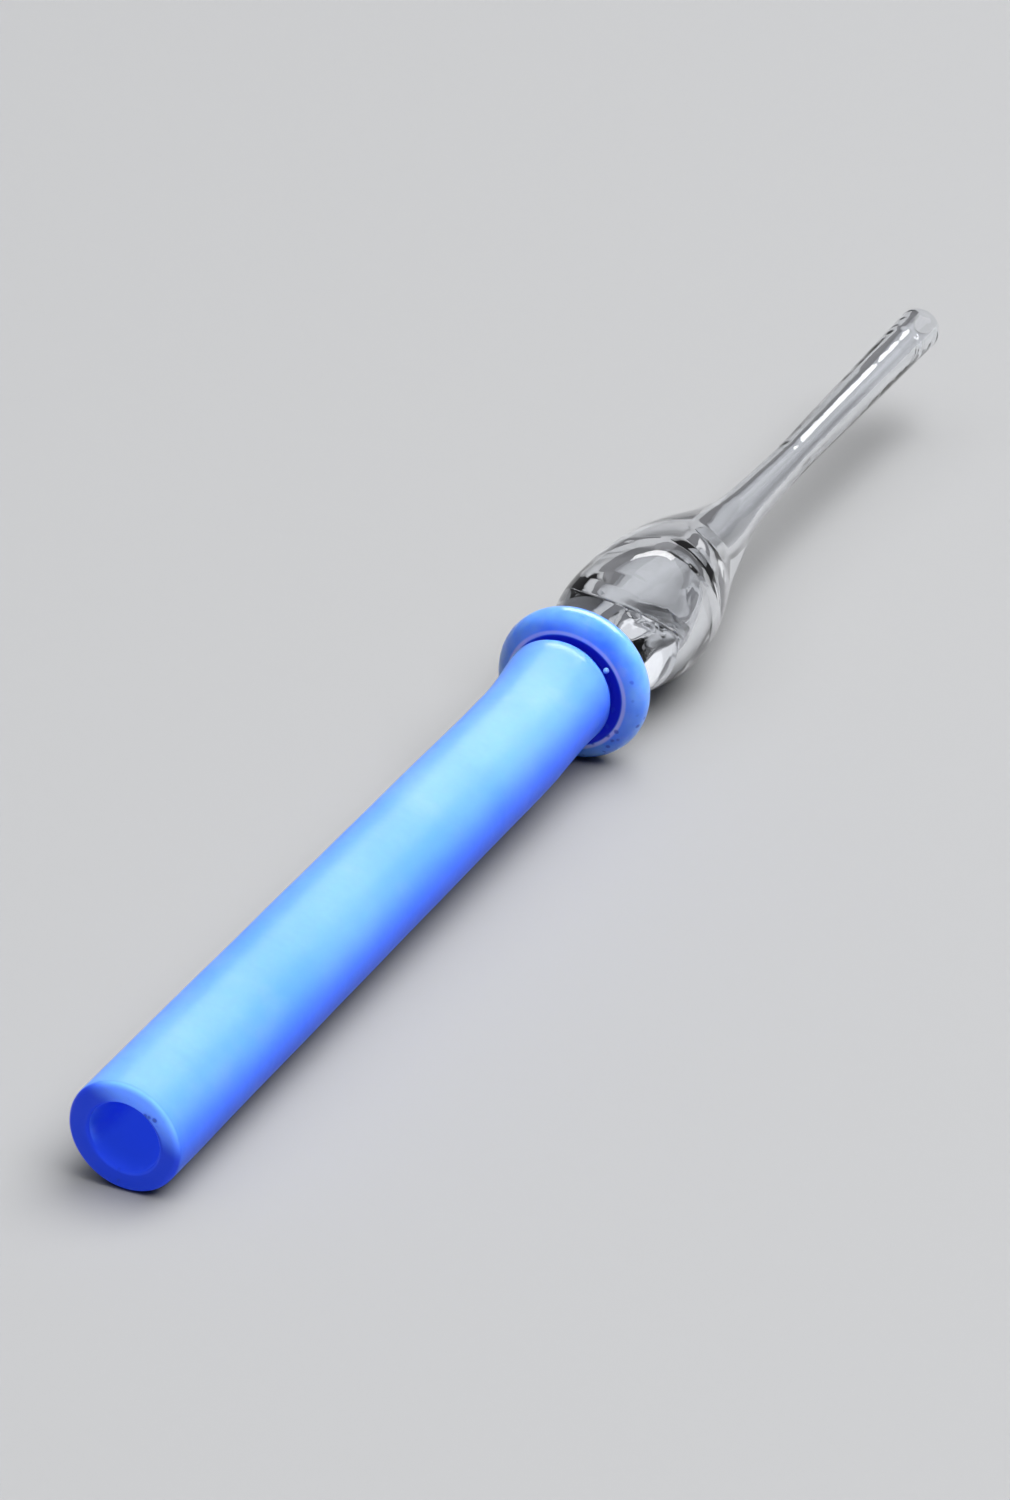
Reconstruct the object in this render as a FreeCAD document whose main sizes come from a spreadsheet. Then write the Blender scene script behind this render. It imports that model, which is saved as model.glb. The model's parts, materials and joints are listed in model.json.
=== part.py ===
"""Flame-worked bulb pipette: a blue mouth tube, a blue ring collar, a clear thick-walled bulb and a stem.

Every piece of glass is turned about one axis. In a piece's own coordinates that axis is X: station 0 is the
mouth face, and stations grow towards the tip. The pipette lies as it would on a bench, on the bottom of its
mouth rim and of its ring, so the axis rises a little towards the tip. Millimetres, +Z up, the origin on the
bench under the middle of the pipette.
"""

import FreeCAD
import Part
import Sketcher

import os

from FreeCAD import Vector

# Driving dimensions. A "station" is a distance along the axis from the mouth face.
SIZES = {
    # blue mouth tube: 12 mm heavy-wall tubing, swelling a little before the collar
    "tube_radius": 6.0,
    "tube_bore_radius": 3.8,
    "tube_end_station": 98.4,
    "tube_swell_station": 86.0,
    "tube_swell_radius": 6.3,
    "tube_rim_round": 0.5,
    "tube_lip_round": 0.25,
    "tube_shoulder_round": 1.1,
    # blue collar: a ring of round section on a short hub
    "ring_station": 100.8,
    "ring_pitch_radius": 6.8,
    "ring_section_radius": 2.15,
    "hub_radius": 5.2,
    "hub_bore_radius": 4.2,
    "hub_end_station": 103.0,
    "hub_root_round": 0.3,
    # seed of glass left in the groove between the tube and the ring
    "seed_radius": 0.34,
    "seed_station": 98.24,
    "seed_pitch_radius": 6.26,
    "seed_clock_angle": 143.8,
    # clear inner tube, sealed into the collar and the floor of the bulb
    "inner_radius": 2.4,
    "inner_bore_radius": 1.7,
    "inner_start_station": 101.0,
    "inner_end_station": 111.8,
    "inner_lip_round": 0.3,
    # clear bulb, outside: a foot, one long convex curve, a cone, and a curve into the neck
    "foot_radius": 4.9,
    "foot_end_station": 104.5,
    "shoulder_station": 127.48,
    "shoulder_radius": 7.11,
    "shoulder_curve": 33.8,
    "cone_end_station": 141.05,
    "cone_end_radius": 3.6,
    "neck_curve": 29.6,
    "neck_station": 146.54,
    "neck_radius": 2.72,
    # clear bulb, inside: a nearly flat floor, a domed wall, and a funnel into the bore
    "floor_station": 111.0,
    "floor_round": 0.9,
    "cavity_radius": 4.8,
    "dome_curve": 24.0,
    "dome_end_station": 130.5,
    "dome_end_radius": 2.5,
    "funnel_end_station": 134.0,
    "neck_bore_radius": 1.39,
    # clear stem: drawn thin, then widening to a fire-polished tip
    "waist_station": 164.1,
    "waist_radius": 2.15,
    "waist_curve": 271.7,
    "waist_bore_radius": 1.1,
    "tip_station": 205.0,
    "tip_radius": 2.72,
    "tip_bore_radius": 1.4,
    "tip_bore_station": 199.0,
    "tip_outer_round": 0.8,
    "tip_inner_round": 0.35,
}

# How the pipette rests: the line that touches the rounded rim and the ring from below gives the tilt.
REST = {
    "tilt": (
        "atan((sizes.ring_pitch_radius - sizes.tube_radius + sizes.tube_rim_round)"
        " / (sizes.ring_station - sizes.tube_rim_round))"
        " + asin((sizes.ring_section_radius - sizes.tube_rim_round)"
        " / sqrt((sizes.ring_station - sizes.tube_rim_round) ^ 2"
        " + (sizes.ring_pitch_radius - sizes.tube_radius + sizes.tube_rim_round) ^ 2))"
    ),
    "lift": (
        "sizes.tube_rim_round + (sizes.tube_radius - sizes.tube_rim_round) * cos(rest.tilt)"
        " - sizes.tube_rim_round * sin(rest.tilt)"
    ),
    "rim_reach": (
        "sizes.tube_rim_round * (1 - cos(rest.tilt))"
        " + (sizes.tube_radius - sizes.tube_rim_round) * sin(rest.tilt)"
    ),
    "tip_reach": (
        "(sizes.tip_station - sizes.tip_outer_round) * cos(rest.tilt)"
        " + (sizes.tip_radius - sizes.tip_outer_round) * sin(rest.tilt) + sizes.tip_outer_round"
    ),
}

doc = FreeCAD.newDocument("bulb_pipette")


def fill_sheet():
    """Puts every driving dimension in the spreadsheet, one aliased cell each."""
    sheet = doc.addObject("Spreadsheet::Sheet", "sizes")
    for row, (alias, value) in enumerate(SIZES.items(), start=1):
        sheet.set(f"A{row}", alias.replace("_", " "))
        sheet.set(f"B{row}", str(value))
        sheet.setAlias(f"B{row}", alias)
    doc.recompute()


def work_out_rest():
    """Holds the resting tilt and offsets, worked out from the sheet."""
    rest = doc.addObject("App::VarSet", "rest")
    for name, expression in REST.items():
        kind = "App::PropertyAngle" if name == "tilt" else "App::PropertyFloat"
        rest.addProperty(kind, name)
        rest.setExpression(name, expression)
        doc.recompute()


def new_body(label):
    """A body laid down in the resting pose."""
    body = doc.addObject("PartDesign::Body", label)
    body.Label = label
    body.Placement = FreeCAD.Placement(Vector(0, 0, 0), FreeCAD.Rotation(Vector(0, -1, 0), 1))
    body.setExpression("Placement.Rotation.Angle", "rest.tilt")
    body.setExpression("Placement.Base.x", "(rest.rim_reach - rest.tip_reach) / 2")
    body.setExpression("Placement.Base.z", "rest.lift")
    return body


def base_plane(body, role):
    return next(item for item in body.Origin.OriginFeatures if item.Role == role)


def hold(sketch, geometry, end, station, radius):
    """Pins one end of an edge to a station and a radius given as expressions."""
    for kind, value, axis in (("DistanceX", station, -2), ("DistanceY", radius, -1)):
        if value == "0":
            sketch.addConstraint(Sketcher.Constraint("PointOnObject", geometry, end, axis))
        else:
            size = sketch.evalExpression(value)
            index = sketch.addConstraint(Sketcher.Constraint(kind, -1, 1, geometry, end, size))
            sketch.setExpression(f"Constraints[{index}]", value)


def arc_edge(start, end, radius, bulge):
    """The short arc of a given radius between two points; bulge is +1 outwards and -1 inwards."""
    chord = end - start
    sagitta = radius - (radius**2 - (chord.Length / 2) ** 2) ** 0.5
    outwards = Vector(-chord.y, chord.x, 0).normalize()
    return Part.Arc(start, (start + end) / 2 + outwards * sagitta * bulge, end)


def section(body, name, corners):
    """A closed outline in the plane of the axis. A corner is (station, radius), and one that starts an
    arc adds the arc's radius and its bulge."""
    sketch = body.newObject("Sketcher::SketchObject", name)
    sketch.AttachmentSupport = (base_plane(body, "XY_Plane"), [""])
    sketch.MapMode = "FlatFace"
    points = [Vector(*(sketch.evalExpression(value) for value in corner[:2]), 0) for corner in corners]
    for index, corner in enumerate(corners):
        start, end = points[index], points[(index + 1) % len(points)]
        if len(corner) == 2:
            sketch.addGeometry(Part.LineSegment(start, end))
            continue
        curve, bulge = corner[2:]
        sketch.addGeometry(arc_edge(start, end, sketch.evalExpression(curve), bulge))
        radius = sketch.addConstraint(Sketcher.Constraint("Radius", index, sketch.evalExpression(curve)))
        sketch.setExpression(f"Constraints[{radius}]", curve)
    ends = [edge_ends(sketch, index, points[index]) for index in range(len(corners))]
    for index, corner in enumerate(corners):
        following = (index + 1) % len(corners)
        joint = (index, ends[index][1], following, ends[following][0])
        sketch.addConstraint(Sketcher.Constraint("Coincident", *joint))
        hold(sketch, index, ends[index][0], *corner[:2])
    return sketch


def edge_ends(sketch, index, start):
    """Which end of an edge is its first and which its last, since arcs are kept anticlockwise."""
    first_is_start = sketch.getPoint(index, 1).distanceToPoint(start) < 1e-6
    return (1, 2) if first_is_start else (2, 1)


def turn(body, name, kind, corners):
    """A section turned about the axis: "Revolution" adds the solid, and "Groove" cuts it away."""
    profile = section(body, name + "_section", corners)
    feature = body.newObject(f"PartDesign::{kind}", name)
    feature.Profile = profile
    feature.ReferenceAxis = (profile, ["H_Axis"])
    feature.Angle = 360
    doc.recompute()
    return feature


def round_off(body, name, base, size, circles):
    """Rounds the circular edges of a feature that lie at the given (station, radius) pairs."""
    found = []
    for index, edge in enumerate(base.Shape.Edges, start=1):
        if not isinstance(edge.Curve, Part.Circle):
            continue
        for station, radius in circles:
            station_gap = abs(edge.Curve.Center.x - base.evalExpression(station))
            radius_gap = abs(edge.Curve.Radius - base.evalExpression(radius))
            if max(station_gap, radius_gap) < 1e-3:
                found.append(f"Edge{index}")
    fillet = body.newObject("PartDesign::Fillet", name)
    fillet.Base = (base, found)
    fillet.setExpression("Radius", size)
    doc.recompute()
    return fillet


def make_mouth_tube():
    """Blue tubing, with its mouth edges melted round and its far end rounded into the groove."""
    body = new_body("mouth_tube")
    wall = turn(body, "tube_wall", "Revolution", [
        ("0", "sizes.tube_bore_radius"),
        ("0", "sizes.tube_radius"),
        ("sizes.tube_swell_station", "sizes.tube_radius"),
        ("sizes.tube_end_station", "sizes.tube_swell_radius"),
        ("sizes.tube_end_station", "sizes.tube_bore_radius"),
    ])
    rim = round_off(body, "mouth_rim", wall, "sizes.tube_rim_round", [("0", "sizes.tube_radius")])
    lip = round_off(body, "mouth_lip", rim, "sizes.tube_lip_round", [("0", "sizes.tube_bore_radius")])
    round_off(body, "tube_shoulder", lip, "sizes.tube_shoulder_round",
              [("sizes.tube_end_station", "sizes.tube_swell_radius")])
    return body


def make_collar():
    """A blue ring on a hub. The hub is blown out a little wider than the tube's bore, as the tube's outside
    is, and then narrows to hold the inner tube."""
    body = new_body("ring_collar")
    turn(body, "hub", "Revolution", [
        ("sizes.tube_end_station", "sizes.hub_bore_radius"),
        ("sizes.tube_end_station", "sizes.hub_radius"),
        ("sizes.hub_end_station", "sizes.hub_radius"),
        ("sizes.hub_end_station", "sizes.inner_radius"),
        ("sizes.inner_start_station", "sizes.inner_radius"),
        ("sizes.inner_start_station", "sizes.hub_bore_radius"),
    ])
    ring = body.newObject("PartDesign::AdditiveTorus", "ring")
    ring.AttachmentSupport = (base_plane(body, "YZ_Plane"), [""])
    ring.MapMode = "FlatFace"
    ring.setExpression("AttachmentOffset.Base.z", "sizes.ring_station")
    ring.setExpression("Radius1", "sizes.ring_pitch_radius")
    ring.setExpression("Radius2", "sizes.ring_section_radius")
    doc.recompute()
    reach = "sqrt(sizes.ring_section_radius ^ 2 - (sizes.ring_pitch_radius - sizes.hub_radius) ^ 2)"
    roots = [(f"sizes.ring_station {side} {reach}", "sizes.hub_radius") for side in "-+"]
    round_off(body, "ring_roots", ring, "sizes.hub_root_round", roots)
    return body


def make_seed():
    """A speck of blue glass, melted on where the tube turns into the groove."""
    body = new_body("glass_seed")
    seed = body.newObject("PartDesign::AdditiveSphere", "seed")
    seed.AttachmentSupport = (base_plane(body, "XY_Plane"), [""])
    seed.MapMode = "FlatFace"
    seed.setExpression("Radius", "sizes.seed_radius")
    seed.setExpression("AttachmentOffset.Base.x", "sizes.seed_station")
    seed.setExpression("AttachmentOffset.Base.y", "sizes.seed_pitch_radius * cos(sizes.seed_clock_angle)")
    seed.setExpression("AttachmentOffset.Base.z", "sizes.seed_pitch_radius * sin(sizes.seed_clock_angle)")
    doc.recompute()
    return body


def make_inner_tube():
    """A clear tube that leads from the collar through the solid foot of the bulb into its cavity."""
    body = new_body("inner_tube")
    wall = turn(body, "inner_wall", "Revolution", [
        ("sizes.inner_start_station", "sizes.inner_bore_radius"),
        ("sizes.inner_start_station", "sizes.inner_radius"),
        ("sizes.inner_end_station", "sizes.inner_radius"),
        ("sizes.inner_end_station", "sizes.inner_bore_radius"),
    ])
    lip = [("sizes.inner_end_station", f"sizes.{radius}") for radius in ("inner_radius", "inner_bore_radius")]
    round_off(body, "inner_lip", wall, "sizes.inner_lip_round", lip)
    return body


def make_bulb():
    """A clear bulb with a thick wall, hollow from the floor that the inner tube pierces up to the neck."""
    body = new_body("bulb")
    turn(body, "bulb_outside", "Revolution", [
        ("sizes.hub_end_station", "sizes.neck_bore_radius"),
        ("sizes.hub_end_station", "sizes.foot_radius"),
        ("sizes.foot_end_station", "sizes.foot_radius", "sizes.shoulder_curve", 1),
        ("sizes.shoulder_station", "sizes.shoulder_radius"),
        ("sizes.cone_end_station", "sizes.cone_end_radius", "sizes.neck_curve", -1),
        ("sizes.neck_station", "sizes.neck_radius"),
        ("sizes.neck_station", "sizes.neck_bore_radius"),
    ])
    turn(body, "bulb_cavity", "Groove", [
        ("sizes.hub_end_station", "0"),
        ("sizes.hub_end_station", "sizes.inner_radius"),
        ("sizes.floor_station", "sizes.inner_radius"),
        ("sizes.floor_station", "sizes.cavity_radius - sizes.floor_round", "sizes.floor_round", 1),
        ("sizes.floor_station + sizes.floor_round", "sizes.cavity_radius", "sizes.dome_curve", 1),
        ("sizes.dome_end_station", "sizes.dome_end_radius"),
        ("sizes.funnel_end_station", "sizes.neck_bore_radius"),
        ("sizes.neck_station", "sizes.neck_bore_radius"),
        ("sizes.neck_station", "0"),
    ])
    return body


def make_stem():
    """The clear stem, whose bore narrows and widens with its outside, and runs straight near the tip."""
    body = new_body("stem")
    wall = turn(body, "stem_wall", "Revolution", [
        ("sizes.neck_station", "sizes.neck_bore_radius"),
        ("sizes.neck_station", "sizes.neck_radius", "sizes.waist_curve", -1),
        ("sizes.waist_station", "sizes.waist_radius"),
        ("sizes.tip_station", "sizes.tip_radius"),
        ("sizes.tip_station", "sizes.tip_bore_radius"),
        ("sizes.tip_bore_station", "sizes.tip_bore_radius"),
        ("sizes.waist_station", "sizes.waist_bore_radius"),
    ])
    outer = round_off(body, "tip_outer", wall, "sizes.tip_outer_round",
                      [("sizes.tip_station", "sizes.tip_radius")])
    round_off(body, "tip_inner", outer, "sizes.tip_inner_round",
              [("sizes.tip_station", "sizes.tip_bore_radius")])
    return body


def check(pieces):
    """Stops if any object failed to build or any piece isn't one sound solid."""
    for item in doc.Objects:
        if "Invalid" in item.State or "Error" in item.State:
            raise RuntimeError(f"{item.Name} failed: {item.State}")
    for piece in pieces:
        shape = piece.Shape
        if shape.isNull() or not shape.isValid() or len(shape.Solids) != 1:
            raise RuntimeError(f"{piece.Label} isn't one valid solid")
        box = shape.optimalBoundingBox()
        print(f"{piece.Label:12s} x {box.XMin:8.2f} {box.XMax:8.2f}  y {box.YMin:6.2f} {box.YMax:6.2f}"
              f"  z {box.ZMin:6.2f} {box.ZMax:6.2f}  volume {shape.Volume:8.1f}")


def main():
    fill_sheet()
    work_out_rest()
    pieces = [make_mouth_tube(), make_collar(), make_seed(), make_inner_tube(), make_bulb(), make_stem()]
    doc.recompute()
    check(pieces)
    os.makedirs("parts", exist_ok=True)
    for piece in pieces:
        piece.Shape.exportStep(f"parts/{piece.Label}.step")


main()
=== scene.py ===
# %% [markdown]
# # A flame-worked bulb pipette
#
# The object is a glass pipette made at a torch: a milky blue mouth tube, a blue ring, a clear bulb with a
# wall nearly as thick as its cavity, and a thin clear stem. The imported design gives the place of
# everything. Here each piece of glass is made again with the small faults that hand-worked glass has, and
# gets its finish.

# %% Load the frame
import json
import math

import bmesh
import bpy
from mathutils import Matrix, Vector, noise


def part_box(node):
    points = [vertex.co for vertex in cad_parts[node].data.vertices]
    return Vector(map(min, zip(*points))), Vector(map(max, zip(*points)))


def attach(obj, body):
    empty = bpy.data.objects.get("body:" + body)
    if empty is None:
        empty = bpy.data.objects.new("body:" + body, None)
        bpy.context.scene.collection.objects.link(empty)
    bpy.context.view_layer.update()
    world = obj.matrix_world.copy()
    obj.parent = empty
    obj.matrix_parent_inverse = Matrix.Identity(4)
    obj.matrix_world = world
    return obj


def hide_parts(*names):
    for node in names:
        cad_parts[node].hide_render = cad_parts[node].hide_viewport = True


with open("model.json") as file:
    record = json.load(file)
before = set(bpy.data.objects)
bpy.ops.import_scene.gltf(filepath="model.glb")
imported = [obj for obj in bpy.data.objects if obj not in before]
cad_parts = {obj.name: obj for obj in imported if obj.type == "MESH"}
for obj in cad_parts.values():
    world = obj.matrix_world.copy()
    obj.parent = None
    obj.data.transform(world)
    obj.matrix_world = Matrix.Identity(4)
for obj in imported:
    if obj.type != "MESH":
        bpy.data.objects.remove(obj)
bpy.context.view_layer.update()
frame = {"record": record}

# %% [markdown]
# ## The axis
#
# Every piece is round about one axis, which rises a little because the pipette lies on its mouth rim and
# its ring. The design states the mouth bore as a mount, so its position and direction give that axis. A
# "station" is a distance along it from the mouth face, in millimetres. A "clock" is an angle round it.

# %% Find the axis
MM = 0.001
mounts = {mount["name"]: mount for mount in frame["record"]["mounts"]}
ALONG = -Vector(mounts["mouth_bore"]["axis"]).normalized()
# the mount is stated this far inside the mouth
BORE_STATION = 20
MOUTH = Vector(mounts["mouth_bore"]["pos_m"]) - ALONG * BORE_STATION * MM
SIDE = Vector((0, 1, 0))
ABOVE = ALONG.cross(SIDE)
TURN = Matrix((ALONG, SIDE, ABOVE)).transposed().to_4x4()
TO_FRAME = Matrix.Translation(MOUTH) @ TURN @ Matrix.Scale(MM, 4)
print("tilt, degrees:", round(math.degrees(math.asin(ALONG.z)), 3))


def at_clock(degrees):
    """The direction, square to the axis, that a clock points in."""
    clock = math.radians(degrees)
    return Vector((0, math.cos(clock), math.sin(clock)))


# %% [markdown]
# ## Camera
#
# The camera looks along the pipette from behind its mouth, down and to the side. It is close by, so that the
# stem's far end looks much smaller than the mouth, and a long lens makes the pipette fill the picture.

# %% Place the camera
AZIMUTH = math.radians(-64.48)
ELEVATION = math.radians(27.18)
BACK = Vector((
    math.sin(AZIMUTH) * math.cos(ELEVATION),
    -math.cos(AZIMUTH) * math.cos(ELEVATION),
    math.sin(ELEVATION),
))
RIGHT = Vector((math.cos(AZIMUTH), math.sin(AZIMUTH), 0))
UP = BACK.cross(RIGHT)
LENS = 123.6
SENSOR = 36
AIM_STATION = 0.5
# the camera's place from the aim, mm
TO_RIGHT = 35.63
UPWARDS = 36.48
BACKWARDS = 485.4

camera_data = bpy.data.cameras.new("camera")
camera_data.sensor_width = SENSOR
camera_data.lens = LENS
camera_data.clip_start = 0.01
camera = bpy.data.objects.new("camera", camera_data)
aim = MOUTH + ALONG * AIM_STATION * MM
camera.location = aim + (TO_RIGHT * RIGHT + UPWARDS * UP + BACKWARDS * BACK) * MM
camera.rotation_mode = "QUATERNION"
camera.rotation_quaternion = Matrix((RIGHT, UP, BACK)).transposed().to_quaternion()
bpy.context.scene.collection.objects.link(camera)
bpy.context.scene.camera = camera
print("camera, mm:", [round(1000 * value, 1) for value in camera.location])

# %% [markdown]
# ## Turning glass on a lathe
#
# Glass tubing stays round while it is worked, because it is turned in the flame all the time. Blender's
# spin does the same: a closed section, drawn once, is swept round the axis. A section is a list of
# corners, each a station and a radius, and a corner with a third number is reached through an arc of that
# radius, bowed away from the axis, or towards it when the number is negative. Straight runs are divided
# too, so that they can be bent.

# %% Draw a section
FEWEST_STEPS = 5


def bow(start, end, radius, gap):
    """Points after start on the short arc to end."""
    chord = end - start
    normal = Vector((-chord.y, chord.x)).normalized()
    if normal.y * radius < 0:
        normal = -normal
    reach = math.sqrt(radius**2 - (chord.length / 2) ** 2)
    centre = (start + end) / 2 - normal * reach
    sweep = 2 * math.asin(chord.length / 2 / abs(radius))
    count = max(FEWEST_STEPS, round(abs(radius) * sweep / gap))
    first, last = start - centre, end - centre
    turn = math.copysign(sweep, first.cross(last))
    return [centre + Matrix.Rotation(turn * step / count, 2) @ first for step in range(1, count + 1)]


def trace(corners, gap):
    """The points of a section, with straight runs and arcs divided about every gap millimetres."""
    points = [Vector(corners[0][:2])]
    for station, radius, *arc in [*corners[1:], corners[0][:2]]:
        start, end = points[-1], Vector((station, radius))
        if arc:
            points += bow(start, end, arc[0], gap)
        else:
            count = max(1, round((end - start).length / gap))
            points += [start.lerp(end, step / count) for step in range(1, count + 1)]
    return points[:-1]


# %% Spin it
# how finely a piece is turned: the gap along its section, mm, and the steps round it
PLAIN_STEPS = 96
FINE_STEPS = 160
WELD = 1e-5


def lathe(corners, gap, steps=FINE_STEPS):
    """A bmesh, in millimetres, turned about its X axis from a closed section."""
    mesh = bmesh.new()
    verts = [mesh.verts.new((station, radius, 0)) for station, radius in trace(corners, gap)]
    edges = [mesh.edges.new((verts[index - 1], verts[index])) for index in range(len(verts))]
    bmesh.ops.spin(mesh, geom=verts + edges, axis=(1, 0, 0), angle=2 * math.pi, steps=steps, use_merge=True)
    bmesh.ops.remove_doubles(mesh, verts=mesh.verts, dist=WELD)
    bmesh.ops.recalc_face_normals(mesh, faces=mesh.faces)
    print("turned a section of", len(verts), "points")
    return mesh


def radial(place):
    """The direction out from the axis to a place."""
    return Vector((0, place.y, place.z)).normalized()


# %% [markdown]
# ## The hand in the glass
#
# Nothing made at a torch is perfectly straight or round. The mouth tube leans a little, the bulb slumped
# to one side while it was soft, and every surface has slow ripples. A lean is a bell-shaped push, and a
# ripple comes from smooth noise. Both depend on the place alone, so the faces where two clear pieces are
# fused stay together.

# %% Lean and ripple
LEAN_CLOCK = 217.8
LEAN_SIDE = at_clock(LEAN_CLOCK)
# station, width along the axis, and how far the centre moves there, mm
TUBE_LEANS = ((0, 45, -0.20), (82, 12, 0.10), (98, 7, -0.50))
CLEAR_LEANS = ((111.5, 4.5, -0.42), (131, 5.5, -0.42), (152, 12, -0.10), (175, 16, -0.12), (200, 14, -0.15))
# how far a surface goes up and down, mm, and how quickly that changes along the axis and round it
TUBE_RIPPLE = 0.05
CLEAR_RIPPLE = 0.04
RIPPLE_ALONG = 0.09
RIPPLE_ROUND = 1.3


def lean(station, leans):
    return sum(size * math.exp(-(((station - middle) / width) ** 2)) for middle, width, size in leans)


def work_by_hand(mesh, ripple, leans):
    """Leans and ripples a piece."""
    for vert in mesh.verts:
        station = vert.co.x
        out = radial(vert.co)
        at = Vector((station * RIPPLE_ALONG, RIPPLE_ROUND * out.y, RIPPLE_ROUND * out.z))
        vert.co += out * noise.noise(at) * ripple + LEAN_SIDE * lean(station, leans)


print("lean at the mouth, mm:", round(lean(0, TUBE_LEANS), 2))

# %% [markdown]
# ### The steep floor
#
# The cavity's floor is steep, because the foot was pushed over while it was soft. From the mouth's side it
# is seen edge-on, as one bright line. A slanted cut would leave a hard edge, so the level floor is turned
# first, and then the low end of the cavity slides along the axis, further on one side than on the other.
# The slide fades to nothing above and below, and it leaves the bulb's outside alone.

# %% Tip the floor
FLOOR_STATION = 111.0
# how far the floor's middle moves, and how much more for each mm to the leaning side and the near side
FLOOR_RISE = 4.7
FLOOR_SLANT = 0.62
FLOOR_PITCH = -1.1
# how far below and above the floor the slide reaches, and the radius that it keeps inside
BELOW_FLOOR = 5.0
ABOVE_FLOOR = 19.0
INSIDE_BULB = 5.4
NEAR_SIDE = at_clock(LEAN_CLOCK - 90)


def ramp(place):
    """How far along the axis the floor is moved at a place across it."""
    return FLOOR_RISE + FLOOR_SLANT * place.dot(LEAN_SIDE) + FLOOR_PITCH * place.dot(NEAR_SIDE)


def slant_floor(mesh):
    """Tips the cavity's floor and the inner tube's end."""
    for vert in mesh.verts:
        gap = vert.co.x - FLOOR_STATION
        if vert.co.yz.length > INSIDE_BULB or not -BELOW_FLOOR < gap < ABOVE_FLOOR:
            continue
        fade = math.cos(math.pi / 2 * gap / (ABOVE_FLOOR if gap > 0 else BELOW_FLOOR)) ** 2
        vert.co.x += fade * ramp(vert.co)


print("the floor moves", round(FLOOR_RISE, 1), "mm in its middle")

# %% [markdown]
# ### The bent channel
#
# The inner tube went with the foot when that was pushed over. It starts straight in the collar, and then
# it and the hole that it is fused into swing sideways together, on a smooth step that has no kink at
# either end.

# %% Bend the channel
CHANNEL_RADIUS = 2.6
CHANNEL_SHIFT = 0.9
CHANNEL_STRAIGHT = 103.2
CHANNEL_BENT = 108.5
CHANNEL_END = FLOOR_STATION + 1


def bend_channel(mesh):
    """Bends the inner tube, and the hole that it is fused into, to the side that the foot was pushed to."""
    for vert in mesh.verts:
        if vert.co.yz.length < CHANNEL_RADIUS and vert.co.x < CHANNEL_END:
            along = (vert.co.x - CHANNEL_STRAIGHT) / (CHANNEL_BENT - CHANNEL_STRAIGHT)
            along = min(1, max(0, along))
            vert.co += LEAN_SIDE * CHANNEL_SHIFT * along**2 * (3 - 2 * along)


print("the channel swings", CHANNEL_SHIFT, "mm sideways")

# %% [markdown]
# ## From a bmesh to a finished piece
#
# Where two clear pieces were fused, the glass has no surface left. Those faces get a second material that
# can't be seen. Every finished piece is then put in the frame's metres, shaded smooth except at sharp
# edges, and told which body it rides on, and the piece of the design that it stands for is hidden.

# %% Mark fused faces and finish a piece
SHARP = math.radians(40)
NEARLY = 0.001
FUSED_SLOT = 1


def between(value, limits):
    return limits[0] - NEARLY <= value <= limits[1] + NEARLY


def mark_fused(mesh, stations, radii):
    """Gives the second material to the faces that lie wholly between two stations and two radii."""
    for face in mesh.faces:
        inside = [between(vert.co.x, stations) and between(vert.co.yz.length, radii) for vert in face.verts]
        if all(inside):
            face.material_index = FUSED_SLOT


def finish_piece(name, mesh, node, materials):
    """Turns a bmesh in millimetres into a finished object that stands for a CAD node."""
    for edge in mesh.edges:
        edge.smooth = edge.calc_face_angle(0) < SHARP
    data = bpy.data.meshes.new(name)
    mesh.transform(TO_FRAME)
    mesh.to_mesh(data)
    mesh.free()
    for material in materials:
        data.materials.append(material)
    data.shade_smooth()
    piece = bpy.data.objects.new(name, data)
    bpy.context.scene.collection.objects.link(piece)
    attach(piece, "root")
    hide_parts(node)
    print(name, len(data.polygons), "faces")
    return piece


# %% [markdown]
# ## Shader maths
#
# A material is easier to read as a sum than as a drawing of wires. This class wraps one socket, and
# Python's own operators add the Math nodes. Colours go through Mix nodes, because a Math node would turn
# them grey.

# %% Wrap a socket
class Wire:
    def __init__(self, tree, socket):
        self.tree = tree
        self.socket = socket

    def math(self, operation, *values):
        return add(self.tree, "ShaderNodeMath", {"operation": operation}, dict(enumerate(values)))

    def __add__(self, other):
        return self.math("ADD", self, other)

    def __mul__(self, other):
        return self.math("MULTIPLY", self, other)

    __radd__ = __add__
    __rmul__ = __mul__

    def spread(self, nothing, full):
        """0 on the first limit's side, 1 on the second's, smooth between."""
        inputs = {"Value": self, "From Min": nothing, "From Max": full}
        return add(self.tree, "ShaderNodeMapRange", {"interpolation_type": "SMOOTHSTEP"}, inputs)


def add(tree, kind, settings, inputs, output=0):
    """Adds a node, its settings first, then the values or wires of its sockets."""
    node = tree.nodes.new(kind)
    for name, value in settings.items():
        setattr(node, name, value)
    for name, value in inputs.items():
        if isinstance(value, Wire):
            tree.links.new(value.socket, node.inputs[name])
        else:
            node.inputs[name].default_value = value
    return Wire(tree, node.outputs[output])


# %% Measure, mix and close
MIX_FACTOR, MIX_FIRST, MIX_SECOND, MIX_RESULT = 0, 6, 7, 2


def blend_colours(tree, factor, first, second):
    """A mix of two colours, each a colour or a wire."""
    inputs = {MIX_FACTOR: factor, MIX_FIRST: first, MIX_SECOND: second}
    return add(tree, "ShaderNodeMix", {"data_type": "RGBA"}, inputs, output=MIX_RESULT)


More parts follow.
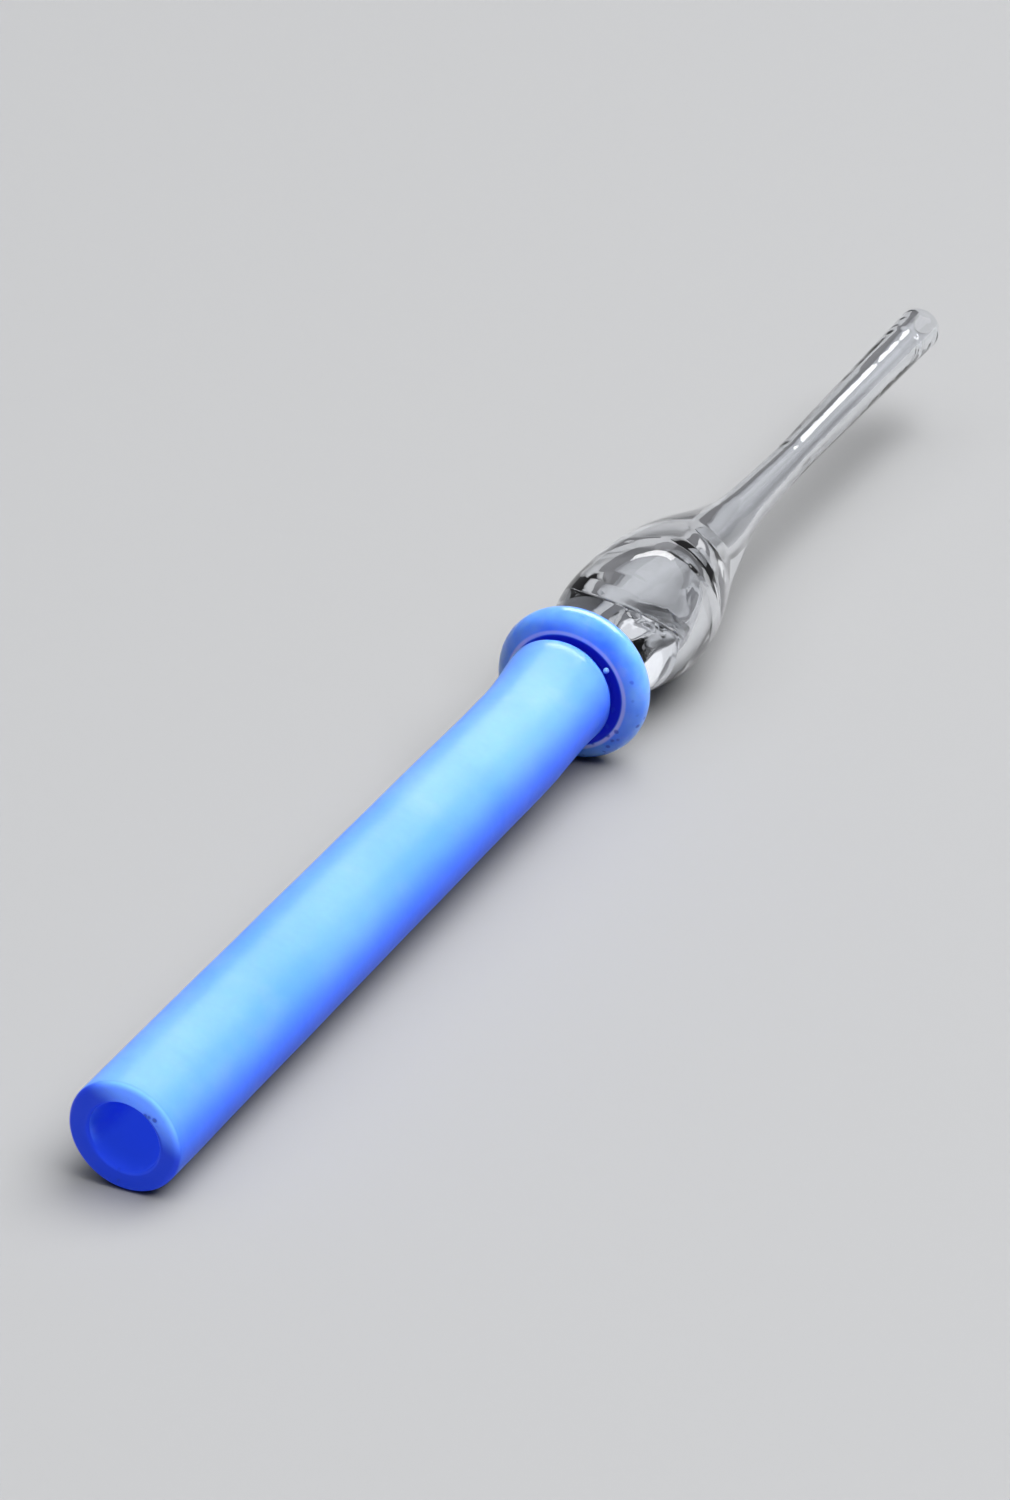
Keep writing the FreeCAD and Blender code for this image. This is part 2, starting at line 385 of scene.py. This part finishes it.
def place_on_glass(tree):
    """Object coordinates turned so that X is the station and Y and Z cross the axis, in millimetres."""
    coordinates = add(tree, "ShaderNodeTexCoord", {}, {}, output="Object")
    from_frame = TO_FRAME.inverted()
    mapping = {
        "Vector": coordinates,
        "Location": from_frame.translation,
        "Rotation": from_frame.to_euler(),
        "Scale": from_frame.to_scale(),
    }
    return add(tree, "ShaderNodeMapping", {}, mapping)


def towards(tree, place, side):
    """How far a place is from the axis in one direction."""
    inputs = {0: place, 1: side}
    return add(tree, "ShaderNodeVectorMath", {"operation": "DOT_PRODUCT"}, inputs, output="Value")


def new_material(name):
    material = bpy.data.materials.new(name)
    material.use_nodes = True
    tree = material.node_tree
    tree.nodes.clear()
    return material, tree


def close(tree, shader):
    output = tree.nodes.new("ShaderNodeOutputMaterial")
    tree.links.new(shader.socket, output.inputs["Surface"])
    print("a material of", len(tree.nodes), "nodes")


# %% [markdown]
# ## Blue glass
#
# The blue is a milky glass: light goes a little way in and comes back deeper in colour, under a clear
# surface. Subsurface scattering does that. A flat blue would look like plastic, and clear blue glass would
# show what is behind it. Slow clouds mix a pale and a deep blue, a violet haze lies over them, and small
# dark specks stand for grains that didn't melt.
#
# Light also runs inside the glass from one end to the other, which the renderer can't follow. Where it comes
# out or gets lost, a zone paints it in: it has a mask, a colour painted in as painted light or painted
# shade, and a faint painted glow from the emission.

# %% Make a blue glass
LIT_SIDE = at_clock(120)
# the tube's painted shade lies towards this side, and the ring's specks gathered on it too
SHADED_LOW_SIDE = at_clock(215)
VIOLET = (0.30, 0.38, 1.0, 1)
INK = (0.015, 0.05, 0.55, 1)
DARK = (0, 0, 0, 1)
CLOUD_EDGES = 0.35, 0.7
HAZE_EDGES = 0.54, 0.74
HAZE_FINER = 2.3
SPECK_EDGES = 0.30, 0.12
SPECK_CHOICE = 0.50, 0.58
SPECK_STRENGTH = 0.75


def blue_glass(name, pale, deep, cloud_size, hazy, zones, speckled, gloss):
    """Milky glass. A zone is (mask, colour, glow): painted light or painted shade with a painted glow. A
    mask is a function of station, radius, height, side.
    """
    material, tree = new_material(name)
    place = place_on_glass(tree)
    station = add(tree, "ShaderNodeSeparateXYZ", {}, {"Vector": place})
    across = add(tree, "ShaderNodeVectorMath", {"operation": "MULTIPLY"}, {0: place, 1: (0, 1, 1)})
    radius = add(tree, "ShaderNodeVectorMath", {"operation": "LENGTH"}, {0: across}, output="Value")
    where = station, radius, towards(tree, place, LIT_SIDE), towards(tree, place, SHADED_LOW_SIDE)

    clouds = add(tree, "ShaderNodeTexNoise", {}, {"Vector": place, "Scale": cloud_size, "Detail": 3.0})
    haze_size = cloud_size * HAZE_FINER
    haze = add(tree, "ShaderNodeTexNoise", {}, {"Vector": place, "Scale": haze_size, "Detail": 4.0})
    colour = blend_colours(tree, clouds.spread(*CLOUD_EDGES), pale, deep)
    colour = blend_colours(tree, haze.spread(*HAZE_EDGES) * hazy, colour, VIOLET)
    # each zone paints its colour over the glass as painted light or painted shade, and its glow is a painted
    # glow
    glow = DARK
    for mask, shade, light in zones:
        colour = blend_colours(tree, mask(*where), colour, shade)
        glow = blend_colours(tree, mask(*where), glow, light)

    specks = add(tree, "ShaderNodeTexVoronoi", {}, {"Vector": place, "Scale": 0.75, "Randomness": 1.0})
    chosen = add(tree, "ShaderNodeTexNoise", {}, {"Vector": place, "Scale": 0.5, "Detail": 0.0})
    speck = specks.spread(*SPECK_EDGES) * chosen.spread(*SPECK_CHOICE) * speckled(*where) * SPECK_STRENGTH
    colour = blend_colours(tree, speck, colour, INK)
    glow = blend_colours(tree, speck, glow, DARK)

    fine = add(tree, "ShaderNodeTexNoise", {}, {"Vector": place, "Scale": 0.35, "Detail": 2.0})
    normal = add(tree, "ShaderNodeBump", {}, {"Height": fine, "Strength": 0.06, "Distance": 0.001})
    shader = add(tree, "ShaderNodeBsdfPrincipled", {"subsurface_method": "RANDOM_WALK"}, {
        "Base Color": colour,
        "Normal": normal,
        "Roughness": 0.45,
        "IOR": 1.47,
        "Specular IOR Level": 0.15,
        "Subsurface Weight": 0.9,
        "Subsurface Radius": (0.3, 0.55, 1.0),
        "Subsurface Scale": 0.002,
        "Coat Weight": gloss(*where),
        "Coat Roughness": 0.18,
        "Emission Color": glow,
        "Emission Strength": 1.0,
    })
    close(tree, shader)
    return material


# %% [markdown]
# ### The tube's glass
#
# The tube is palest where it faces the light, and a deeper blue is painted along its shaded side as painted
# shade. Its bore and the flat of its mouth are painted a deep ink blue as painted shade, with a faint
# painted glow for light that has come through the whole wall, and the top of the mouth's flat is painted
# paler, as painted light with a brighter painted glow. The groove before the ring gets hardly any light, so
# it is painted navy as painted shade, with a faint painted glow.

# %% Choose the zones of the tube
TUBE_RADIUS = 6.0
TUBE_BORE = 3.8
TUBE_END = 98.4

# the limits of each mask, mm: none of it at the first, all of it at the second
BORE_WALL = TUBE_BORE + 0.2, TUBE_BORE + 0.06
TUBE_GROOVE_STATION = TUBE_END - 0.9, TUBE_END - 0.3
TUBE_GROOVE_RADIUS = TUBE_RADIUS + 0.25, TUBE_RADIUS - 0.1
PAINTED_SHADE_EDGES = 1.5, 6.2
TUBE_SKIN = TUBE_RADIUS - 0.7, TUBE_RADIUS - 0.4
FACE_DEPTH = 0.55, 0.25
FACE_TOP = 1.6, 5.2
FACE_RADIUS = TUBE_BORE + 0.1, TUBE_BORE + 0.4
SHOULDER_EDGES = TUBE_END - 2.9, TUBE_END - 1.1
SHOULDER_GLOSS = 0.9
TUBE_GLOSS = 0.06


# painted shade in the bore, with a faint painted glow
def in_shaded_bore(station, radius, height, side):
    return radius.spread(*BORE_WALL)


# painted shade in the groove before the ring, with a faint painted glow
def in_shaded_tube_groove(station, radius, height, side):
    return station.spread(*TUBE_GROOVE_STATION) * radius.spread(*TUBE_GROOVE_RADIUS)


# painted shade: a deeper blue along the side away from the light
def on_painted_shade_side(station, radius, height, side):
    return side.spread(*PAINTED_SHADE_EDGES) * radius.spread(*TUBE_SKIN)


# the mouth's flat: painted shade with a faint painted glow; its specks are the glass's own
def on_mouth_face(station, radius, height, side):
    return station.spread(*FACE_DEPTH)


# the top of the mouth's flat: painted light, paler, with a brighter painted glow
def on_lit_top_of_face(station, radius, height, side):
    return station.spread(*FACE_DEPTH) * height.spread(*FACE_TOP) * radius.spread(*FACE_RADIUS)


def tube_gloss(station, radius, height, side):
    return station.spread(*SHOULDER_EDGES) * SHOULDER_GLOSS + TUBE_GLOSS


# %% Mix the tube's glass
# the painted shade in both grooves
NAVY_SHADE = (0.004, 0.010, 0.28, 1)
BLUE = blue_glass(
    "milky_blue_glass",
    pale=(0.125, 0.30, 1.0, 1),
    deep=(0.090, 0.26, 1.0, 1),
    cloud_size=0.06,
    hazy=0.12,
    # every zone here is painted light or painted shade, each with a painted glow
    zones=[
        (on_painted_shade_side, (0.025, 0.11, 0.80, 1), DARK),
        (on_mouth_face, (0.008, 0.026, 0.36, 1), (0.006, 0.026, 0.34, 1)),
        (on_lit_top_of_face, (0.16, 0.36, 1.0, 1), (0.055, 0.14, 0.42, 1)),
        (in_shaded_bore, (0.010, 0.030, 0.40, 1), (0.011, 0.038, 0.38, 1)),
        (in_shaded_tube_groove, NAVY_SHADE, (0.002, 0.004, 0.16, 1)),
    ],
    speckled=on_mouth_face,
    gloss=tube_gloss,
)

# %% [markdown]
# ### The ring's glass and the seed's
#
# The ring is the same milky blue, but cloudier, because it was wound on from a rod. It is glossy all over.
# The edge over the groove is painted a pale violet, a painted highlight with a faint painted glow, the
# groove itself is painted navy as painted shade, and the specks gathered on the side that hung lowest.

# %% Mix the ring's glass and the seed's
RING_STATION = 100.8
RING_PITCH = 6.8
RING_GROOVE_STATION = RING_STATION + 0.4, RING_STATION - 0.2
RING_GROOVE_RADIUS = RING_PITCH + 0.05, RING_PITCH - 0.25
LIP_STATION = RING_STATION - 0.6, RING_STATION - 1.4
LIP_START = RING_PITCH - 0.15, RING_PITCH + 0.05
LIP_END = RING_PITCH + 0.5, RING_PITCH + 0.2
LIP_HIGHLIGHT_STRENGTH = 0.6
LOW_SIDE_EDGES = 2.5, 6.0
FULL_GLOSS = 0.9


# painted shade in the groove beside the ring, with a faint painted glow
def in_shaded_ring_groove(station, radius, height, side):
    return station.spread(*RING_GROOVE_STATION) * radius.spread(*RING_GROOVE_RADIUS)


# painted highlight: a pale violet line along the ring's inner edge, with a faint painted glow
def on_ring_lip_highlight(station, radius, height, side):
    return station.spread(*LIP_STATION) * radius.spread(*LIP_START) * radius.spread(*LIP_END) * LIP_HIGHLIGHT_STRENGTH


def on_low_side(station, radius, height, side):
    return side.spread(*LOW_SIDE_EDGES)


def all_over(station, radius, height, side):
    return 1.0


def full_gloss(station, radius, height, side):
    return FULL_GLOSS


RING_BLUE = blue_glass(
    "ring_blue_glass",
    pale=(0.14, 0.36, 1.0, 1),
    deep=(0.055, 0.21, 1.0, 1),
    cloud_size=0.16,
    hazy=0.35,
    # the lip's painted highlight and the groove's painted shade
    zones=[
        (on_ring_lip_highlight, (0.75, 0.68, 0.95, 1), (0.03, 0.04, 0.10, 1)),
        (in_shaded_ring_groove, NAVY_SHADE, (0.002, 0.004, 0.18, 1)),
    ],
    speckled=on_low_side,
    gloss=full_gloss,
)
SEED_BLUE = blue_glass(
    "seed_blue_glass",
    pale=(0.30, 0.50, 1.0, 1),
    deep=(0.25, 0.45, 1.0, 1),
    cloud_size=0.5,
    hazy=0.2,
    zones=[],
    speckled=all_over,
    gloss=full_gloss,
)

# %% [markdown]
# ## Clear glass
#
# The clear glass bends light with an index of 1.47, as borosilicate does. It has a weak swirl in its
# surface, from the flame. Where two clear pieces were fused, a fully transparent shader lets the light run
# straight on.

# %% Make the clear glass
def clear_glass():
    material, tree = new_material("clear_glass")
    place = place_on_glass(tree)
    swirl = add(tree, "ShaderNodeTexNoise", {}, {"Vector": place, "Scale": 0.22, "Detail": 1.0})
    normal = add(tree, "ShaderNodeBump", {}, {"Height": swirl, "Strength": 0.045, "Distance": 0.001})
    shader = add(tree, "ShaderNodeBsdfPrincipled", {}, {
        "Base Color": (0.93, 0.945, 0.97, 1),
        "Normal": normal,
        "Roughness": 0.0,
        "IOR": 1.47,
        "Transmission Weight": 1.0,
    })
    close(tree, shader)
    return material


def fused_joint():
    material, tree = new_material("fused_joint")
    close(tree, add(tree, "ShaderNodeBsdfPrincipled", {}, {"Alpha": 0.0}))
    return material


CLEAR = clear_glass()
FUSED = fused_joint()

# %% [markdown]
# ## Mouth tube
#
# Heavy-wall tubing, cut and melted smooth at the mouth. Near the ring it was pushed while soft, so it
# swells and rounds over into a groove. It is turned from one section, with the bore in it, because a
# cylinder with a wall added afterwards would have no lip to round.

# %% Turn the mouth tube
# the mouth's face is a hair inside the design's, to leave room for the ripple
FACE = 0.01
LIP = 0.3
LIP_ROUND = 0.32
RIM_ROUND = 0.6
SWELL_START = 86.0
SWELL_TOP = 97.2
SWELL_RADIUS = 6.3
SWELL_CURVE = 90
SHOULDER_END = 5.2
SHOULDER_ROUND = 1.25

tube = lathe([
    (TUBE_END, TUBE_BORE),
    (FACE + LIP, TUBE_BORE),
    (FACE, TUBE_BORE + LIP, -LIP_ROUND),
    (FACE, TUBE_RADIUS - RIM_ROUND),
    (FACE + RIM_ROUND, TUBE_RADIUS, RIM_ROUND),
    (SWELL_START, TUBE_RADIUS),
    (SWELL_TOP, SWELL_RADIUS, -SWELL_CURVE),
    (TUBE_END, SHOULDER_END, SHOULDER_ROUND),
], gap=0.8, steps=PLAIN_STEPS)
work_by_hand(tube, TUBE_RIPPLE, TUBE_LEANS)
BLUE_PIECES = [finish_piece("blue_mouth_tube", tube, "mouth_tube", [BLUE])]

# %% [markdown]
# ## Ring collar
#
# A gather of blue glass wound round the joint and rolled into a ring. Its section is a circle on a short
# hub, and the hub's bore steps down to hold the inner tube.

# %% Turn the ring collar
# the ring is a hair smaller than the design's, so that it stays inside it
RING_RADIUS = 8.945
RING_SECTION = 2.15
# the ring's surface meets the hub this far from the ring's middle
RING_MEETS_HUB = 1.44
HUB_RADIUS = 5.2
HUB_BORE = 4.2
HUB_END = 103.0
INNER_START = 101.0
INNER_RADIUS = 2.4

ring = lathe([
    (TUBE_END, HUB_BORE),
    (TUBE_END, HUB_RADIUS),
    (RING_STATION - RING_MEETS_HUB, HUB_RADIUS),
    (RING_STATION - RING_SECTION, RING_PITCH, -RING_SECTION),
    (RING_STATION, RING_RADIUS, RING_SECTION),
    (RING_STATION + RING_SECTION, RING_PITCH, RING_SECTION),
    (RING_STATION + RING_MEETS_HUB, HUB_RADIUS, -RING_SECTION),
    (HUB_END, HUB_RADIUS),
    (HUB_END, INNER_RADIUS),
    (INNER_START, INNER_RADIUS),
    (INNER_START, HUB_BORE),
], gap=0.25)
BLUE_PIECES.append(finish_piece("blue_ring", ring, "ring_collar", [RING_BLUE]))

# %% [markdown]
# ## Glass seed
#
# A speck of blue glass, under a millimetre across, that fell into the groove and stuck. Surface tension
# made it round, so it is a ball. The design's box gives its size and place.

# %% Drop the seed into the groove
low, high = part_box("glass_seed")
seed = bmesh.new()
bmesh.ops.create_icosphere(seed, subdivisions=3, radius=(high - low).x / 2 / MM)
middle = TO_FRAME.inverted() @ ((low + high) / 2)
bmesh.ops.transform(seed, verts=seed.verts, matrix=Matrix.Translation(middle))
BLUE_PIECES.append(finish_piece("blue_seed", seed, "glass_seed", [SEED_BLUE]))

# %% [markdown]
# ## Inner tube
#
# A short clear tube that leads from the collar through the bulb's foot into the cavity. Its outside melted
# into the foot, so only its bore and its end can still be seen. The bore crumpled as the foot was pushed
# over, which is why it glitters: smooth noise moves the bore's wall in and out.

# %% Turn the inner tube
INNER_BORE = 1.7
INNER_END = FLOOR_STATION + 0.8
INNER_LIP = 0.4
# how far the bore's wall is crumpled, mm, and how quickly that changes
CRUMPLE = 0.22
CRUMPLE_ALONG = 0.9
CRUMPLE_ACROSS = 0.8
CRUMPLED_RADIUS = 2.0

inner = lathe([
    (INNER_START, INNER_BORE),
    (INNER_START, INNER_RADIUS),
    (FLOOR_STATION, INNER_RADIUS),
    (INNER_END - INNER_LIP, INNER_RADIUS),
    (INNER_END, (INNER_BORE + INNER_RADIUS) / 2, INNER_LIP),
    (INNER_END - INNER_LIP, INNER_BORE, INNER_LIP),
], gap=0.25)
mark_fused(inner, (INNER_START, FLOOR_STATION), (INNER_RADIUS, INNER_RADIUS))
for vert in inner.verts:
    if vert.co.yz.length < CRUMPLED_RADIUS:
        at = Vector((vert.co.x * CRUMPLE_ALONG, vert.co.y * CRUMPLE_ACROSS, vert.co.z * CRUMPLE_ACROSS))
        vert.co += radial(vert.co) * noise.noise(at) * CRUMPLE
bend_channel(inner)
slant_floor(inner)
work_by_hand(inner, CLEAR_RIPPLE, CLEAR_LEANS)
CLEAR_PIECES = [finish_piece("clear_inner_tube", inner, "inner_tube", [CLEAR, FUSED])]

# %% [markdown]
# ## Bulb
#
# Clear glass blown out while it was turned. The outside is one long curve that runs down a cone into the
# neck. The cavity has a floor, a domed wall and a funnel that leads into the stem's bore. Both are in one
# section, so the wall between them has the right thickness everywhere.

# %% Turn the bulb
# the foot starts a hair above the hub, so that blue and clear glass don't share a face
FOOT = HUB_END + 0.03
FOOT_RADIUS = 4.9
FOOT_END = 104.5
WIDEST = 127.48
WIDEST_RADIUS = 7.11
WIDEST_CURVE = 33.8
CONE_END = 141.05
CONE_RADIUS = 3.6
NECK = 146.54
NECK_RADIUS = 2.72
NECK_CURVE = 29.6
NECK_BORE = 1.39
FUNNEL_END = 134.0
DOME_END = 130.5
DOME_RADIUS = 2.5
DOME_CURVE = 24
CAVITY_RADIUS = 4.8
FLOOR_ROUND = 0.9

bulb = lathe([
    (FOOT, INNER_RADIUS),
    (FOOT, FOOT_RADIUS),
    (FOOT_END, FOOT_RADIUS),
    (WIDEST, WIDEST_RADIUS, WIDEST_CURVE),
    (CONE_END, CONE_RADIUS),
    (NECK, NECK_RADIUS, -NECK_CURVE),
    (NECK, NECK_BORE),
    (FUNNEL_END, NECK_BORE),
    (DOME_END, DOME_RADIUS),
    (FLOOR_STATION + FLOOR_ROUND, CAVITY_RADIUS, DOME_CURVE),
    (FLOOR_STATION, CAVITY_RADIUS - FLOOR_ROUND, FLOOR_ROUND),
    (FLOOR_STATION, INNER_RADIUS),
], gap=0.4)
mark_fused(bulb, (FOOT, FOOT), (INNER_RADIUS, FOOT_RADIUS))
mark_fused(bulb, (FOOT, FLOOR_STATION), (INNER_RADIUS, INNER_RADIUS))
mark_fused(bulb, (NECK, NECK), (NECK_BORE, NECK_RADIUS))
bend_channel(bulb)
slant_floor(bulb)

# %% [markdown]
# ### Bubbles in the foot
#
# Air was trapped at the two ends of the floor's edge as the glass folded over. A bubble is a small ball
# whose faces point inwards, because the glass is outside it. A fixed seed gives the same bubbles each
# time.

# %% Trap the bubbles
noise.seed_set(7)
# clock of each end of the floor's edge, and how many bubbles were trapped there
BUBBLE_ENDS = (48, 9), (172, 12)
BUBBLE_RADIUS = 5.2
BUBBLE_SPREAD = 0.45
BUBBLE_SMALL = 0.04
BUBBLE_LARGE = 0.12

for clock, count in BUBBLE_ENDS:
    for number in range(count):
        here = noise.random_vector() * BUBBLE_SPREAD
        across = at_clock(clock) * BUBBLE_RADIUS
        centre = across + here + Vector((FLOOR_STATION + ramp(across), 0, 0))
        size = BUBBLE_SMALL + (BUBBLE_LARGE - BUBBLE_SMALL) * noise.random() ** 2
        there = Matrix.Translation(centre)
        bubble = bmesh.ops.create_icosphere(bulb, subdivisions=2, radius=size, matrix=there)
        faces = list({face for vert in bubble["verts"] for face in vert.link_faces})
        bmesh.ops.reverse_faces(bulb, faces=faces)
    print(count, "bubbles at", clock, "degrees")
work_by_hand(bulb, CLEAR_RIPPLE, CLEAR_LEANS)
CLEAR_PIECES.append(finish_piece("clear_bulb", bulb, "bulb", [CLEAR, FUSED]))

# %% [markdown]
# ## Stem
#
# Drawn out of the bulb's neck while hot, so it is thinnest soon after the neck and widens slowly to the
# tip. The tip was cut and melted round, and its bore steps out a little just inside.

# %% Turn the stem
WAIST = 164.1
WAIST_RADIUS = 2.151
WAIST_CURVE = 271.7
WAIST_BORE = 1.1
# the tip is a hair short of the design's, to leave room for its lean
TIP = 204.97
TIP_RADIUS = 2.72
TIP_ROUND = 1.0
TIP_LIP_RADIUS = 1.95
TIP_BORE = 1.4
TIP_LIP = 0.3
TIP_LIP_ROUND = 0.45
STEP_START = 198.8
STEP_END = 199.2
STEP_BORE = 1.3

stem = lathe([
    (NECK, NECK_BORE),
    (NECK, NECK_RADIUS),
    (WAIST, WAIST_RADIUS, -WAIST_CURVE),
    (TIP - TIP_ROUND, TIP_RADIUS),
    (TIP, TIP_LIP_RADIUS, TIP_ROUND),
    (TIP - TIP_LIP, TIP_BORE, -TIP_LIP_ROUND),
    (STEP_END, TIP_BORE),
    (STEP_START, STEP_BORE),
    (WAIST, WAIST_BORE),
], gap=0.5)

# %% [markdown]
# ### Comb marks
#
# Near the tip there is a row of slanting dents on one side, such as the jaws that hold hot glass leave. The
# surface there is divided along the axis first, or the dents would be finer than its faces. Then a wave
# presses it in.

# %% Press in the comb marks
COMB_FIRST = 196.0
COMB_LAST = 202.0
COMB_PITCH = 0.9
COMB_SLANT = 1.2
COMB_DEPTH = 0.07
COMB_REACH = 0.4
COMB_SKIN = 2.4
LONG_ENOUGH = 0.1


def in_comb(vert):
    return COMB_FIRST < vert.co.x < COMB_LAST and vert.co.yz.length > COMB_SKIN


marked = [edge for edge in stem.edges if all(in_comb(vert) for vert in edge.verts)]
lengthways = [edge for edge in marked if abs(edge.verts[0].co.x - edge.verts[1].co.x) > LONG_ENOUGH]
bmesh.ops.subdivide_edges(stem, edges=lengthways, cuts=3, use_grid_fill=True)
for vert in stem.verts:
    if in_comb(vert):
        station, y, z = vert.co
        turn = math.atan2(z, y) % (2 * math.pi) - math.radians(LEAN_CLOCK)
        wave = math.cos(2 * math.pi * (station + turn * COMB_SLANT) / COMB_PITCH)
        ends = math.sin(math.pi * (station - COMB_FIRST) / (COMB_LAST - COMB_FIRST))
        press = math.exp(-((turn / COMB_REACH) ** 2)) * ends
        vert.co -= radial(vert.co) * COMB_DEPTH * press * (0.5 + 0.5 * wave)
mark_fused(stem, (NECK, NECK), (NECK_BORE, NECK_RADIUS))
work_by_hand(stem, CLEAR_RIPPLE, CLEAR_LEANS)
CLEAR_PIECES.append(finish_piece("clear_stem", stem, "stem", [CLEAR, FUSED]))

# %% [markdown]
# ## Floor
#
# A plain pale sheet, wide enough that its edge is far away in every view. A sun lights it evenly, and
# lights nothing else, so the floor doesn't fall into darkness behind the pipette. The sun is very wide,
# which keeps its shadows faint.

# %% Lay the floor and light it
FLOOR_REACH = 8.0
FLOOR_GREY = (0.20, 0.202, 0.206, 1)
FLOOR_ROUGHNESS = 0.8
SUN_STRENGTH = 2.5
SUN_WIDTH = math.radians(90)


def lay_floor():
    sheet = bmesh.new()
    bmesh.ops.create_grid(sheet, size=FLOOR_REACH)
    data = bpy.data.meshes.new("floor")
    sheet.to_mesh(data)
    sheet.free()
    material, tree = new_material("pale_floor")
    finish = {"Base Color": FLOOR_GREY, "Roughness": FLOOR_ROUGHNESS}
    close(tree, add(tree, "ShaderNodeBsdfPrincipled", {}, finish))
    data.materials.append(material)
    floor = bpy.data.objects.new("floor", data)
    bpy.context.scene.collection.objects.link(floor)
    return floor


def light_only(light, pieces):
    """Makes a light shine on some pieces and on nothing else."""
    lit = bpy.data.collections.new(light.name + "_lights")
    for piece in pieces:
        lit.objects.link(piece)
    light.light_linking.receiver_collection = lit


def light_floor(floor):
    data = bpy.data.lights.new("floor_light", "SUN")
    data.energy = SUN_STRENGTH
    data.angle = SUN_WIDTH
    light = bpy.data.objects.new("floor_light", data)
    light.visible_glossy = False
    light.visible_transmission = False
    light_only(light, [floor])
    bpy.context.scene.collection.objects.link(light)


light_floor(lay_floor())
print("floor,", 2 * FLOOR_REACH, "m wide")

# %% [markdown]
# ## Soft lights
#
# Glass is mostly a picture of its lights, and the blue glass and the clear glass each need their own. So
# every light does one job. The key lights surfaces, from high above. Three panels can only be seen through
# glass, where they draw its bright edges. Two more can only be seen as reflections: a thin strip in the
# clear glass, and a wide soft one in the blue. All of them are aimed at the ring, and the camera sees none.

# %% Set the soft lights
SURFACES = "visible_diffuse"
REFLECTIONS = "visible_glossy"
THROUGH_GLASS = "visible_transmission"


def softbox(name, azimuth, elevation, distance, size, brightness, seen_in, pieces=None):
    """A soft rectangle, its place in degrees and metres. seen_in is the one kind of ray that meets it."""
    azimuth, elevation = math.radians(azimuth), math.radians(elevation)
    outwards = Vector((
        math.cos(azimuth) * math.cos(elevation),
        math.sin(azimuth) * math.cos(elevation),
        math.sin(elevation),
    ))
    data = bpy.data.lights.new(name, "AREA")
    data.shape = "RECTANGLE"
    data.size, data.size_y = size
    data.energy = brightness * math.pi * data.size * data.size_y
    light = bpy.data.objects.new(name, data)
    light.location = outwards * distance
    light.rotation_mode = "QUATERNION"
    light.rotation_quaternion = outwards.to_track_quat("Z", "Y")
    light.visible_camera = False
    for ray in (SURFACES, REFLECTIONS, THROUGH_GLASS):
        setattr(light, ray, ray == seen_in)
    if pieces:
        light_only(light, pieces)
    bpy.context.scene.collection.objects.link(light)
    print(name, "light,", round(data.energy, 1), "W")


softbox(
    "key", azimuth=-62, elevation=67, distance=2.4, size=(3.0, 2.2), brightness=9.2,
    seen_in=SURFACES,
)
softbox(
    "overhead", azimuth=-13, elevation=72, distance=2.3, size=(3.4, 2.5), brightness=0.25,
    seen_in=THROUGH_GLASS,
)
softbox(
    "behind", azimuth=-20, elevation=35, distance=2.7, size=(3.0, 1.5), brightness=0.65,
    seen_in=THROUGH_GLASS,
)
softbox(
    "near_side", azimuth=-144, elevation=20, distance=2.1, size=(1.2, 0.9), brightness=0.2,
    seen_in=THROUGH_GLASS,
)
softbox(
    "glint", azimuth=7, elevation=36, distance=2.7, size=(1.35, 0.18), brightness=7.0,
    seen_in=REFLECTIONS, pieces=CLEAR_PIECES,
)
softbox(
    "sheen", azimuth=4, elevation=38, distance=2.7, size=(2.7, 1.35), brightness=7.0,
    seen_in=REFLECTIONS, pieces=BLUE_PIECES,
)

# %% [markdown]
# ## The room
#
# A dim grey room fills the reflections between the lights. It doesn't light surfaces, or the shaded side
# of the blue glass would turn grey instead of deep blue.

# %% Set the room
ROOM = (0.20, 0.20, 0.21, 1)

world = bpy.data.worlds.new("studio")
world.use_nodes = True
world.node_tree.nodes["Background"].inputs["Color"].default_value = ROOM
bpy.context.scene.world = world
world.cycles_visibility.diffuse = False
bpy.context.scene.view_settings.view_transform = "Standard"
print("room brightness", ROOM[0])
